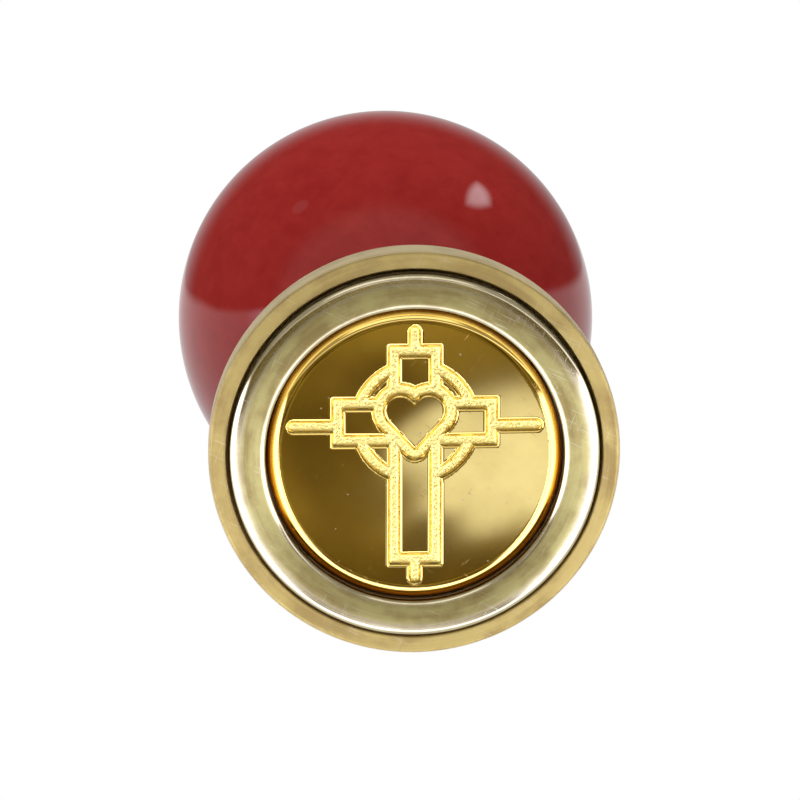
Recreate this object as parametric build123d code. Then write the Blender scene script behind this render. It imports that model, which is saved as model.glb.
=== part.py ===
from build123d import *
import math
import os

# Wax seal stamp, standing on its die with the knob upwards. Millimetres, +Z up.
# The origin lies on the axis, in the plane of the retaining ring's front face.
# Heights count from that plane, so the die's faces point down.

# Die coin: a polished face on a wider flange
coin_diameter = 18.0
coin_boss_height = 1.15
coin_flange_width = 1.0
coin_flange_thickness = 1.6
coin_rim_width = 0.8
coin_rim_lean = 48.0
coin_setback = 0.45

# Engraved motif: an upright and arms in outline, a ring behind them, a heart at the crossing
groove_width = 0.88
groove_depth = 0.45
groove_draft = 12.0
upright_width = 3.44
upright_top = 7.0
upright_bottom = -7.05
arms_span = 10.4
arms_width = 3.2
arms_middle = 2.1
ring_motif_diameter = 8.0
heart_width = 3.6
heart_top = 3.73
heart_notch = 3.1
heart_tip = 0.5
pin_length = 1.2
spike_length = 2.75
spike_drop = 0.25

# Retaining ring: a lip over the coin's flange, and a threaded skirt
ring_hole_gap = 0.25
ring_face_width = 2.2
ring_inner_rounding = 0.5
ring_outer_rounding = 0.5
ring_front_land = 1.3
ring_thread_step = 0.15
ring_thread_chamfer = 0.1
ring_end_gap = 0.2

# Fits
running_clearance = 0.05
seat_clearance = 0.02
bond_line = 0.1
socket_clearance = 0.15

# Soft disc behind the coin
pad_thickness = 0.8
pad_inset = 0.2

# Ferrule: a cup for the die, an ogee shoulder, a bead and a collar round the neck
rim_setback = 0.6
rim_width = 1.1
rim_rounding = 0.7
rim_inner_chamfer = 0.12
band_height = 2.0
shoulder_radius = 3.5
cove_radius = 3.5
collar_radius = 8.4
collar_land = 0.5
bead_radius = 0.8
collar_height = 2.4
collar_rounding = 0.5
socket_wall = 1.8

# Fixing screw, its spring washer and the web that they clamp
screw_diameter = 4.0
screw_length = 14.0
screw_head_diameter = 8.0
screw_head_height = 2.4
screw_head_rounding = 0.8
screw_slot_width = 1.2
screw_slot_depth = 1.1
screw_tip_chamfer = 0.4
screw_head_gap = 0.2
screw_hole_clearance = 0.2
head_recess_clearance = 0.3
web_thickness = 1.5
washer_width = 1.5
washer_thickness = 0.9
washer_bore_clearance = 0.1
washer_slit = 0.8

# Fibre washer between the neck's foot and the web
neck_washer_thickness = 0.5
neck_washer_bore_clearance = 0.6
neck_washer_inset = 0.15

# Handle: a ball on a slender neck, with a tight throat between them
ball_diameter = 30.0
ball_height = 44.0
waist_depth = 1.35
throat_radius = 2.5
neck_inset = 0.45
neck_gap = 0.15
neck_foot_rounding = 0.4
spigot_chamfer = 0.3

# Threaded insert bonded in the neck
insert_diameter = 8.4
insert_length = 12.0
insert_setback = 0.2
insert_groove_count = 3
insert_groove_width = 1.2
insert_groove_depth = 0.5
insert_bore_clearance = 0.04
glue_pocket = 1.0

# Radii that follow from the sizes above
coin_radius = coin_diameter / 2
flange_radius = coin_radius + coin_flange_width
ring_hole_radius = coin_radius + ring_hole_gap
ring_face_radius = ring_hole_radius + ring_face_width
ring_skirt_radius = flange_radius + running_clearance
thread_radius = ring_face_radius + ring_thread_step
cup_radius = thread_radius + running_clearance
rim_radius = cup_radius + rim_width
socket_radius = collar_radius - socket_wall
spigot_radius = socket_radius - socket_clearance
foot_radius = collar_radius - neck_inset
waist_radius = foot_radius - waist_depth
ball_radius = ball_diameter / 2
screw_radius = screw_diameter / 2
head_radius = screw_head_diameter / 2
insert_radius = insert_diameter / 2

# Heights that follow from the sizes above
flange_front = coin_setback + coin_boss_height
coin_back = flange_front + coin_flange_thickness
cup_floor = coin_back + pad_thickness
ring_end = cup_floor - ring_end_gap
band_top = rim_setback + band_height
ogee_rise = math.sqrt((shoulder_radius + cove_radius) ** 2
                      - (collar_radius + cove_radius - rim_radius + shoulder_radius) ** 2)
ogee_top = band_top + ogee_rise
bead_middle = ogee_top + collar_land + bead_radius
collar_top = bead_middle + bead_radius + collar_height
screw_head_end = cup_floor + screw_head_gap
washer_front = screw_head_end + screw_head_height
web_front = washer_front + washer_thickness
socket_floor = web_front + web_thickness
spigot_end = socket_floor + neck_washer_thickness
neck_foot = collar_top + neck_gap
insert_end = spigot_end + insert_setback
insert_top = insert_end + insert_length
screw_tip = washer_front + screw_length


def turned(profile):
    """Turn a flat half profile, drawn as radius and height, about the Z axis."""
    return revolve(Plane.XZ * profile, Axis.Z)


def outline(*points):
    """Close a run of (radius, height) points into a flat profile."""
    return make_face(Polyline(*points, close=True))


def corner(profile, radius, height):
    """The corner of a profile at a radius and height."""
    return profile.vertices().sort_by_distance((radius, height, 0))[0]


def drum(radius, low, high):
    """A plain solid cylinder on the axis between two heights."""
    return Pos(0, 0, low) * Cylinder(radius, high - low, align=(Align.CENTER, Align.CENTER, Align.MIN))


def heart_window():
    """The flat heart inside its groove: two round lobes and straight sides to the tip."""
    half = heart_width / 2
    dip = heart_top - heart_notch
    lobe = half + dip - math.sqrt(2 * half * dip)
    middle = Vector(half - lobe, heart_top - lobe)
    tip = Vector(0, heart_tip)
    rise = middle - tip
    side_angle = math.atan2(rise.Y, rise.X) - math.asin(lobe / rise.length)
    notch_angle = math.atan2(heart_notch - middle.Y, -middle.X)
    start = side_angle - math.pi / 2
    arc = CenterArc(middle, lobe, math.degrees(start), math.degrees(notch_angle - start))
    side = Line(tip, arc @ 0)
    half_heart = [side, arc]
    return make_face(half_heart + [mirror(edge, Plane.YZ) for edge in half_heart])


def frame_of(width, low, high):
    """An upright rectangle and the window that is left inside its groove."""
    place = Pos(0, (low + high) / 2)
    window = Rectangle(width - 2 * groove_width, high - low - 2 * groove_width)
    return place * Rectangle(width, high - low), place * window


def motif():
    """All grooves of the motif as one flat sketch, as seen by someone facing the die."""
    upright, upright_window = frame_of(upright_width, upright_bottom, upright_top)
    arms_low = arms_middle - arms_width / 2
    arms, arms_window = frame_of(arms_span, arms_low, arms_low + arms_width)
    inner_heart = heart_window()
    outer_heart = offset(inner_heart, groove_width, kind=Kind.ARC)
    ring_radius = ring_motif_diameter / 2
    halo = Circle(ring_radius) - Circle(ring_radius - groove_width)
    pin = SlotCenterToCenter(upright_top - upright_bottom + 2 * pin_length - groove_width, groove_width)
    spikes = SlotCenterToCenter(arms_span + 2 * spike_length - groove_width, groove_width)
    upright_middle = (upright_top + upright_bottom) / 2
    shape = upright + arms + Pos(0, arms_middle) * halo + outer_heart
    shape += Pos(0, upright_middle) * Rot(0, 0, 90) * pin
    shape += Pos(0, arms_middle - spike_drop) * spikes
    return shape - (upright_window + arms_window - outer_heart) - inner_heart


def die_coin():
    """Polished coin with a rim that leans back, a flange behind it and the engraved motif."""
    bend = coin_rim_width / math.sin(math.radians(coin_rim_lean))
    rim = CenterArc((coin_radius - coin_rim_width, coin_setback + bend), bend, -90, coin_rim_lean)
    body = Polyline(
        rim @ 1,
        (coin_radius, flange_front),
        (flange_radius, flange_front),
        (flange_radius, coin_back),
        (0, coin_back),
        (0, coin_setback),
        rim @ 0,
    )
    profile = make_face([rim, body])
    face = Plane(origin=(0, 0, coin_setback), x_dir=(1, 0, 0), z_dir=(0, 0, -1))
    engraving = extrude(face * motif(), groove_depth, dir=(0, 0, 1), taper=groove_draft)
    return turned(profile) - engraving


def retaining_ring():
    """Ring with a rounded lip over the coin's flange and a skirt that screws into the cup."""
    lip_back = flange_front - seat_clearance
    profile = outline(
        (ring_hole_radius, 0),
        (ring_face_radius, 0),
        (ring_face_radius, ring_front_land),
        (thread_radius - ring_thread_chamfer, ring_front_land),
        (thread_radius, ring_front_land + ring_thread_chamfer),
        (thread_radius, ring_end - ring_thread_chamfer),
        (thread_radius - ring_thread_chamfer, ring_end),
        (ring_skirt_radius, ring_end),
        (ring_skirt_radius, lip_back),
        (ring_hole_radius, lip_back),
    )
    profile = fillet(corner(profile, ring_hole_radius, 0), ring_inner_rounding)
    profile = fillet(corner(profile, ring_face_radius, 0), ring_outer_rounding)
    return turned(profile)


def coin_pad():
    """Soft disc on the cup's floor that presses the coin against the ring's lip."""
    return drum(flange_radius - pad_inset, coin_back + seat_clearance, cup_floor)


def ferrule():
    """Turned brass head: cup, ogee shoulder, bead and collar, bored for the screw and the neck."""
    shoulder_middle = (rim_radius - shoulder_radius, band_top)
    cove_middle = (collar_radius + cove_radius, ogee_top)
    ogee_angle = math.degrees(math.atan2(ogee_rise, cove_middle[0] - shoulder_middle[0]))
    shoulder = CenterArc(shoulder_middle, shoulder_radius, 0, ogee_angle)
    cove = CenterArc(cove_middle, cove_radius, 180, ogee_angle)
    hole_radius = screw_radius + screw_hole_clearance
    recess_radius = head_radius + head_recess_clearance
    bead = CenterArc((collar_radius, bead_middle), bead_radius, -90, 180)
    upper = Polyline(
        bead @ 1,
        (collar_radius, collar_top),
        (socket_radius, collar_top),
        (socket_radius, socket_floor),
        (hole_radius, socket_floor),
        (hole_radius, web_front),
        (recess_radius, web_front),
        (recess_radius, cup_floor),
        (cup_radius, cup_floor),
        (cup_radius, rim_setback + rim_inner_chamfer),
        (cup_radius + rim_inner_chamfer, rim_setback),
        (rim_radius, rim_setback),
        (rim_radius, band_top),
    )
    profile = make_face([shoulder, cove, Line(cove @ 0, bead @ 0), bead, upper])
    profile = fillet(corner(profile, rim_radius, rim_setback), rim_rounding)
    profile = fillet(corner(profile, collar_radius, collar_top), collar_rounding)
    return turned(profile)


def fixing_screw():
    """Slotted pan head screw, its head in the cup's floor and its tip in the insert."""
    profile = outline(
        (0, screw_head_end),
        (head_radius, screw_head_end),
        (head_radius, washer_front),
        (screw_radius, washer_front),
        (screw_radius, screw_tip - screw_tip_chamfer),
        (screw_radius - screw_tip_chamfer, screw_tip),
        (0, screw_tip),
    )
    profile = fillet(corner(profile, head_radius, screw_head_end), screw_head_rounding)
    slot = Box(screw_head_diameter, screw_slot_width, 2 * screw_slot_depth)
    return turned(profile) - Pos(0, 0, screw_head_end) * slot


def spring_washer():
    """Split washer between the screw's head and the web."""
    bore = screw_radius + washer_bore_clearance
    ring = drum(bore + washer_width, washer_front, web_front) - drum(bore, washer_front, web_front)
    reach = bore + washer_width
    slit = Pos(reach / 2, 0, (washer_front + web_front) / 2) * Box(reach, washer_slit, 2 * washer_thickness)
    return ring - slit


def neck_washer():
    """Fibre washer on the socket's floor, under the neck's spigot."""
    bore = screw_radius + neck_washer_bore_clearance
    rim = drum(spigot_radius - neck_washer_inset, socket_floor, spigot_end)
    return rim - drum(bore, socket_floor, spigot_end)


def handle_knob():
    """Ball on a slender neck, with a spigot for the collar and a blind hole for the insert."""
    reach = waist_radius + throat_radius
    waist_height = ball_height - math.sqrt((ball_radius + throat_radius) ** 2 - reach ** 2)
    ball_middle = Vector(0, ball_height)
    throat_middle = Vector(reach, waist_height)
    join = ball_middle + (throat_middle - ball_middle).normalized() * ball_radius
    waist = (waist_radius, waist_height)
    neck = TangentArc(waist, (foot_radius, neck_foot), tangent=(0, -1))
    throat = TangentArc(waist, join, tangent=(0, 1))
    crown = ThreePointArc(join, (ball_radius, ball_height), (0, ball_height + ball_radius))
    hole_radius = insert_radius + bond_line
    hole_top = insert_top + glue_pocket
    foot = Polyline(
        (0, ball_height + ball_radius),
        (0, hole_top),
        (hole_radius, hole_top),
        (hole_radius, spigot_end),
        (spigot_radius - spigot_chamfer, spigot_end),
        (spigot_radius, spigot_end + spigot_chamfer),
        (spigot_radius, neck_foot),
        (foot_radius, neck_foot),
    )
    profile = make_face([neck, throat, crown, foot])
    profile = fillet(corner(profile, foot_radius, neck_foot), neck_foot_rounding)
    return turned(profile)


def threaded_insert():
    """Grooved brass insert in the neck, bored for the screw."""
    body = drum(insert_radius, insert_end, insert_top)
    body -= drum(screw_radius + insert_bore_clearance, insert_end, insert_top)
    pitch = insert_length / (insert_groove_count + 1)
    for number in range(insert_groove_count):
        low = insert_end + (number + 1) * pitch - insert_groove_width / 2
        high = low + insert_groove_width
        body -= drum(insert_radius, low, high) - drum(insert_radius - insert_groove_depth, low, high)
    return body


pieces = {
    "handle_knob": handle_knob(),
    "threaded_insert": threaded_insert(),
    "neck_washer": neck_washer(),
    "ferrule": ferrule(),
    "fixing_screw": fixing_screw(),
    "spring_washer": spring_washer(),
    "coin_pad": coin_pad(),
    "die_coin": die_coin(),
    "retaining_ring": retaining_ring(),
}

os.makedirs("parts", exist_ok=True)
for name, piece in pieces.items():
    export_step(piece, f"parts/{name}.step")
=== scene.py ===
"""Wax seal stamp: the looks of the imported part, with its light, floor and camera.

Sizes are in millimetres, heights count from the retaining ring's front face, and a size turns
into metres where its mesh is made.
"""

import enum
import logging
import math
from dataclasses import dataclass, field
from typing import Callable, Mapping, Optional, Sequence, Union

import bmesh
import bpy
import numpy as np
from mathutils import Matrix, Vector


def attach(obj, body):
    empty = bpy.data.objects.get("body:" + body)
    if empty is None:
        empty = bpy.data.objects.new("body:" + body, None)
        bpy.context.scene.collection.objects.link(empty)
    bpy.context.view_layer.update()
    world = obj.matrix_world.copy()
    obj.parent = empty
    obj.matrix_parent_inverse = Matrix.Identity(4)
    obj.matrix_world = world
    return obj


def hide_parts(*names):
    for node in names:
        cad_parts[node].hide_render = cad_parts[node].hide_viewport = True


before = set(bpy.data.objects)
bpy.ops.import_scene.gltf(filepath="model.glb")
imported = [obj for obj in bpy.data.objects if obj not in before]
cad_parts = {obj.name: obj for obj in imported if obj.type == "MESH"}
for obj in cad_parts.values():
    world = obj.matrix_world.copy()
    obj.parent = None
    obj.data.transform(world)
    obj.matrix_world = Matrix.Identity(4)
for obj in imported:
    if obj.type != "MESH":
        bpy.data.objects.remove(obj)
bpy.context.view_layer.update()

LOG = logging.getLogger("wax_seal_stamp")
MM = 0.001
TINY = 1e-12
IMAGE_PIXELS = 800

Point = tuple[float, float]
Triple = tuple[float, float, float]
Colour = Triple
Places = np.ndarray
HeightMap = Callable[[Places, Places], np.ndarray]
Label = Union[int, str]
Value = Union["Wire", float, Sequence[float], bpy.types.Material]


class Body(enum.Enum):
    """The bodies that move against each other."""

    RING = "ring"
    COIN = "coin"
    HANDLE = "handle"


class Slot(enum.Enum):
    """The material slots of the part's record."""

    RED_GLAZE = "red_glaze"
    SATIN_BRASS = "satin_brass"
    PALE_BRASS = "pale_brass"
    GOLD_PLATE = "gold_plate"
    PLAIN_BRASS = "plain_brass"
    ZINC_STEEL = "zinc_steel"
    SOFT_PAD = "soft_pad"
    FIBRE = "fibre"


class Wire:
    """A node's output socket that takes part in arithmetic."""

    def __init__(self, board: "NodeBoard", node: bpy.types.Node, output: Label = 0) -> None:
        """Hold one output of a node.

        Args:
            board: The board that the node stands on.
            node: The node itself.
            output: Name or number of its output; a node without outputs has none.
        """
        self.board = board
        self.node = node
        self.socket = node.outputs[output] if len(node.outputs) else None

    def out(self, output: Label) -> "Wire":
        """Another output of the same node."""
        return Wire(self.board, self.node, output)

    def __add__(self, other: Value) -> "Wire":
        """This value plus another."""
        return self.board.math("ADD", self, other)

    def __radd__(self, other: Value) -> "Wire":
        """Another value plus this one."""
        return self.board.math("ADD", other, self)

    def __sub__(self, other: Value) -> "Wire":
        """This value less another."""
        return self.board.math("SUBTRACT", self, other)

    def __rsub__(self, other: Value) -> "Wire":
        """Another value less this one."""
        return self.board.math("SUBTRACT", other, self)

    def __mul__(self, other: Value) -> "Wire":
        """This value times another."""
        return self.board.math("MULTIPLY", self, other)

    def __truediv__(self, other: Value) -> "Wire":
        """This value divided by another."""
        return self.board.math("DIVIDE", self, other)

    def __pow__(self, other: Value) -> "Wire":
        """This value to a power."""
        return self.board.math("POWER", self, other)

    def __abs__(self) -> "Wire":
        """This value without its sign."""
        return self.board.math("ABSOLUTE", self)

    def at_most(self, other: Value) -> "Wire":
        """The smaller of two values."""
        return self.board.math("MINIMUM", self, other)

    def at_least(self, other: Value) -> "Wire":
        """The larger of two values."""
        return self.board.math("MAXIMUM", self, other)

    def step(self, low: float, high: float) -> "Wire":
        """A soft step from 0 at low to 1 at high.

        Args:
            low: The value where the step starts.
            high: The value where it ends; below low, the step falls.

        Returns:
            The step as a wire.
        """
        down = high < low
        sockets = {
            "Value": self,
            "From Min": min(low, high),
            "From Max": max(low, high),
            "To Min": 1.0 if down else 0.0,
            "To Max": 0.0 if down else 1.0,
        }
        return self.board.add("ShaderNodeMapRange", {"interpolation_type": "SMOOTHSTEP"}, sockets)

    def band(self, edges: Point, scale: float = 1.0) -> "Wire":
        """A soft step between two edges, which may be given in another unit."""
        return self.step(edges[0] * scale, edges[1] * scale)


class NodeBoard:
    """A node tree that is wired by Python expressions."""

    def __init__(self, tree: bpy.types.NodeTree) -> None:
        """Start with an empty tree."""
        self.tree = tree
        self.tree.nodes.clear()

    def add(
        self,
        kind: str,
        settings: Optional[Mapping[str, object]] = None,
        inputs: Optional[Mapping[Label, Value]] = None,
        output: Label = 0,
    ) -> Wire:
        """Add a node of any type.

        Args:
            kind: The node's type.
            settings: Its own settings, set before its sockets.
            inputs: Values or wires by socket name or number.
            output: The output that the returned wire holds.

        Returns:
            A wire from the node's output.
        """
        node = self.tree.nodes.new(kind)
        for name, value in (settings or {}).items():
            setattr(node, name, value)
        for name, value in (inputs or {}).items():
            self._feed(node.inputs[name], value)
        return Wire(self, node, output)

    def _feed(self, socket: bpy.types.NodeSocket, value: Value) -> None:
        """Link a wire to a socket, or set the socket's own value.

        Args:
            socket: The input socket.
            value: A wire, or a value of the socket's own kind.
        """
        if isinstance(value, Wire):
            self.tree.links.new(value.socket, socket)
        elif socket.type == "RGBA":
            socket.default_value = (*value, 1.0)
        else:
            socket.default_value = value

    def math(self, operation: str, *values: Value) -> Wire:
        """A Math node on one or two values."""
        return self.add("ShaderNodeMath", {"operation": operation}, dict(enumerate(values)))

    def vector(self, x: Value, y: Value, z: Value) -> Wire:
        """A vector from its three parts."""
        return self.add("ShaderNodeCombineXYZ", None, {"X": x, "Y": y, "Z": z})

    def mix(self, share: Value, low: Value, high: Value) -> Wire:
        """A colour between two colours."""
        sockets = {0: share, 6: low, 7: high}
        return self.add("ShaderNodeMix", {"data_type": "RGBA"}, sockets, output=2)

    def dot(self, vector: Wire, direction: Sequence[float]) -> Wire:
        """How far a vector reaches along a direction."""
        sockets = {0: vector, 1: tuple(direction)}
        return self.add("ShaderNodeVectorMath", {"operation": "DOT_PRODUCT"}, sockets, "Value")

    def point(self) -> Wire:
        """Where a piece is shaded, in its own metres."""
        return self.add("ShaderNodeTexCoord", output="Object")

    def turned(self, point: Wire) -> tuple[Wire, Wire, Wire, Wire]:
        """A place on a turned piece.

        Args:
            point: Where it is read, in metres.

        Returns:
            Its two places across the axis, its height and its distance from the axis.
        """
        parts = self.add("ShaderNodeSeparateXYZ", None, {"Vector": point})
        x, y, height = (parts.out(axis) for axis in "XYZ")
        return x, y, height, (x * x + y * y + TINY) ** 0.5

    def principled(self, sockets: Mapping[Label, Value]) -> Wire:
        """The general shader with these sockets."""
        return self.add("ShaderNodeBsdfPrincipled", None, sockets)

    def noise(self, vector: Wire, scale: float, detail: float = 2.0, rough: float = 0.5) -> Wire:
        """Plain noise from 0 to 1: its waves a unit, its finer layers and how strong they are."""
        sockets = {"Vector": vector, "Scale": scale, "Detail": detail, "Roughness": rough}
        return self.add("ShaderNodeTexNoise", {"noise_dimensions": "3D"}, sockets)

    def cells(self, point: Wire, scale: float) -> Wire:
        """The distance to the nearest of some scattered points, that many to a metre."""
        sockets = {"Vector": point, "Scale": scale}
        return self.add("ShaderNodeTexVoronoi", {"feature": "F1"}, sockets)

    def bump(self, height: Wire, distance: float) -> Wire:
        """A surface normal that follows a height, with a full step of that distance in metres."""
        return self.add("ShaderNodeBump", None, {"Height": height, "Distance": distance})

    def scratches(self, point: Wire, strokes: Sequence["Stroke"]) -> Wire:
        """Short thin strokes that lie a few ways.

        Args:
            point: Where they are read, in metres.
            strokes: The sizes of the strokes that lie each way.

        Returns:
            1 on a stroke and 0 elsewhere.
        """
        marks = [self._stroke(point, stroke) for stroke in strokes]
        found = marks[0]
        for mark in marks[1:]:
            found = found.at_least(mark)
        return found

    def _stroke(self, point: Wire, stroke: "Stroke") -> Wire:
        """The strokes that lie one way.

        Args:
            point: Where they are read, in metres.
            stroke: Their sizes.

        Returns:
            1 on a stroke and 0 elsewhere.
        """
        grain = (stroke.length * MM, stroke.width * MM, stroke.length * MM)
        turn = (0.0, 0.0, math.radians(stroke.turn))
        sockets = {"Vector": point, "Rotation": turn, "Scale": grain}
        lie = self.add("ShaderNodeMapping", {"vector_type": "TEXTURE"}, sockets)
        return self.noise(lie, 1.0, detail=0.0).step(stroke.rarity, stroke.rarity + stroke.fade)


@dataclass(frozen=True)
class Stroke:
    """Scratches that lie one way: their turn, their size, and 0.6 for many to 0.8 for few."""

    turn: float
    length: float
    width: float
    rarity: float
    fade: float = 0.04


@dataclass(frozen=True)
class Finish:
    """A surface finish that makes its own material."""

    name: str

    def material(self) -> bpy.types.Material:
        """The finish as a material, made once.

        Returns:
            The material, which later calls return again.
        """
        label = f"{self.name}_finish"
        if label in bpy.data.materials:
            return bpy.data.materials[label]
        made = bpy.data.materials.new(label)
        made.use_nodes = True
        board = NodeBoard(made.node_tree)
        board.add("ShaderNodeOutputMaterial", None, {"Surface": self.surface(board)})
        return made

    def surface(self, board: NodeBoard) -> Wire:
        """Wire the finish's shader."""
        raise NotImplementedError


@dataclass(frozen=True)
class RedGlaze(Finish):
    """Thick, glossy red glaze with a faint mottle and a few pinholes."""

    deep: Colour = (0.325, 0.0175, 0.0160)
    bright: Colour = (0.41, 0.0285, 0.0235)
    roughness: float = 0.035
    index: float = 1.5
    mottle_scale: float = 700.0
    mottle_share: float = 0.55
    mottle_roughness: float = 0.02
    flow_scale: float = 90.0
    shade_edges: Point = (0.3, 0.7)
    ripple: float = 0.004
    ripple_scale: float = 260.0
    pinhole: float = 0.01
    pinhole_scale: float = 160.0
    pinhole_edges: Point = (0.05, 0.02)
    pinhole_pick: Point = (0.86, 0.87)
    pinhole_roughness: float = 0.3

    def surface(self, board: NodeBoard) -> Wire:
        """Wire the glaze: mottled colour, a slow ripple and pinholes.

        Args:
            board: The material's board.

        Returns:
            The shader.
        """
        point = board.point()
        mottle = board.noise(point, self.mottle_scale, detail=5.0, rough=0.65)
        flow = board.noise(point, self.flow_scale)
        shade = (mottle * self.mottle_share + flow * (1 - self.mottle_share)).band(self.shade_edges)
        cell = board.cells(point, self.pinhole_scale)
        pick = board.add("ShaderNodeSeparateColor", None, {"Color": cell.out("Color")})
        pinholes = cell.band(self.pinhole_edges) * pick.band(self.pinhole_pick)
        ripples = board.noise(point, self.ripple_scale, detail=1.0)
        height = ripples * self.ripple - pinholes * self.pinhole
        rough = self.roughness + pinholes * self.pinhole_roughness + mottle * self.mottle_roughness
        return board.principled(
            {
                "Base Color": board.mix(shade, self.deep, self.bright),
                "Roughness": rough,
                "IOR": self.index,
                "Normal": board.bump(height, MM),
            }
        )


@dataclass(frozen=True)
class TurnedBrass(Finish):
    """Brass as it leaves the lathe, with fine rings, tarnish and handling marks."""

    colour: Colour = (0.60, 0.45, 0.18)
    tarnish: Colour = (0.34, 0.24, 0.10)
    tarnish_share: float = 0.5
    roughness: float = 0.3
    roughness_spread: float = 0.2
    least_roughness: float = 0.05
    anisotropy: float = 0.5
    quarter_turn: float = 0.25
    line_spacing: float = 0.11
    line_depth: float = 0.0012
    line_drift: float = 1.6
    line_shade: float = 0.5
    sector_drift: float = 2.2
    sector_scales: Point = (1300.0, 600.0)
    cloud_scale: float = 420.0
    cloud_share: float = 0.45
    cloud_edges: Point = (0.40, 0.62)
    cloud_roughness: float = 0.08
    scuffs: float = 0.5
    scuff_strokes: tuple[Stroke, ...] = (
        Stroke(turn=25.0, length=2.4, width=0.05, rarity=0.73),
        Stroke(turn=112.0, length=1.6, width=0.04, rarity=0.74),
    )
    scuff_scale: float = 300.0
    scuff_edges: Point = (0.45, 0.62)
    scuff_colour: Colour = (0.92, 0.88, 0.76)
    scuff_share: float = 0.6
    scuff_depth: float = 0.8
    face: Point = (0.0, 100.0)
    face_blend: Point = (0.03, 0.03)
    # Edges outside the face are paler: partly polished wear, partly a painted sheen; a metallic
    # below 1 belongs to that painted sheen.
    worn_edge_and_sheen: Colour = (0.60, 0.45, 0.18)
    edge_tarnish: float = 0.4
    edge_roughness: float = 0.12
    edge_sheen_metal: float = 1.0
    # Painted shade: a dark, duller, rougher brass for the surfaces inside the gaps between parts.
    gap_shade_colour: Colour = (0.30, 0.17, 0.045)
    gap_shade_radius: float = 0.0
    gap_shade_from: float = 0.0
    gap_shade_to: float = 1.3
    gap_shade_fade: Triple = (0.2, 0.1, 0.05)
    gap_shade_least: float = 0.4
    gap_shade_dulling: float = 0.8
    gap_shade_roughness: float = 0.3

    def _gap_shade(self, radius: Wire, height: Wire) -> Wire:
        """Where painted shade darkens a gap: inside a radius, between two heights.

        Args:
            radius: The distance from the axis.
            height: The height.

        Returns:
            1 in the gap and 0 elsewhere.
        """
        low, high, out = self.gap_shade_fade
        band = height.band((self.gap_shade_from, self.gap_shade_from + low), MM)
        band = band * height.band((self.gap_shade_to + high, self.gap_shade_to), MM)
        return band * radius.band((self.gap_shade_radius + out, self.gap_shade_radius), MM)

    def _rings(self, board: NodeBoard, around: Wire, along: Wire, rough: float) -> Wire:
        """Noise drawn out into rings, read at a place about the axis and a height in waves."""
        sockets = {"Vector": around, "W": along, "Scale": 1.0, "Detail": 3.0, "Roughness": rough}
        return board.add("ShaderNodeTexNoise", {"noise_dimensions": "4D"}, sockets)

    def surface(self, board: NodeBoard) -> Wire:
        """Wire the brass: rings about the axis, cloudy tarnish, short scratches, paler edges with a
        painted sheen, and painted shade in the gaps.

        Args:
            board: The material's board.

        Returns:
            The shader.
        """
        point = board.point()
        x, y, height, radius = board.turned(point)
        grain = 1 / (self.line_spacing * MM)
        drift, wide, tall = self.sector_drift, *self.sector_scales
        swirl = self.line_drift
        around = board.vector(x / radius * swirl, y / radius * swirl, radius * grain)
        lines = self._rings(board, around, height * grain, rough=0.7)
        around = board.vector(x / radius * drift, y / radius * drift, radius * wide)
        sectors = self._rings(board, around, height * tall, rough=0.5)
        grooves = lines - 0.5
        clouds = board.noise(point, self.cloud_scale, detail=4.0, rough=0.6) * self.cloud_share
        clouds = (clouds + sectors * (1 - self.cloud_share)).band(self.cloud_edges)
        patches = board.noise(point, self.scuff_scale, detail=1.0).band(self.scuff_edges)
        marks = board.scratches(point, self.scuff_strokes) * patches * self.scuffs
        shade = clouds * self.tarnish_share + grooves * self.line_shade
        shade = shade.at_least(0.0).at_most(1.0)
        low, high = self.face
        inner, outer = self.face_blend
        brushed = radius.band((low - inner, low + inner), MM)
        brushed = brushed * radius.band((high + outer, high - outer), MM)
        # Painted sheen and polished wear: edges outside the face get a paler colour and, on the
        # cup, less metallic so the even light lifts them.
        edge = board.mix(shade * self.edge_tarnish, self.worn_edge_and_sheen, self.tarnish)
        dressed = board.mix(brushed, edge, board.mix(shade, self.colour, self.tarnish))
        # Painted shade: surfaces inside the gaps are darkened, dulled and roughened, patchy with
        # the clouds.
        gap_shade = self._gap_shade(radius, height) * (self.gap_shade_least + clouds * (1 - self.gap_shade_least))
        dressed = board.mix(marks * self.scuff_share, dressed, self.scuff_colour)
        rough = self.roughness + grooves * self.roughness_spread + clouds * self.cloud_roughness
        rough = self.edge_roughness + brushed * (rough - self.edge_roughness)
        rough = rough + gap_shade * self.gap_shade_roughness
        metal = self.edge_sheen_metal + brushed * (1.0 - self.edge_sheen_metal) - gap_shade * self.gap_shade_dulling
        return board.principled(
            {
                "Base Color": board.mix(gap_shade, dressed, self.gap_shade_colour),
                "Metallic": metal.at_least(0.0),
                "Roughness": rough.at_least(self.least_roughness),
                "Anisotropic": self.anisotropy,
                "Anisotropic Rotation": self.quarter_turn,
                "Normal": board.bump(lines - marks * self.scuff_depth, self.line_depth * MM),
            }
        )


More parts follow.
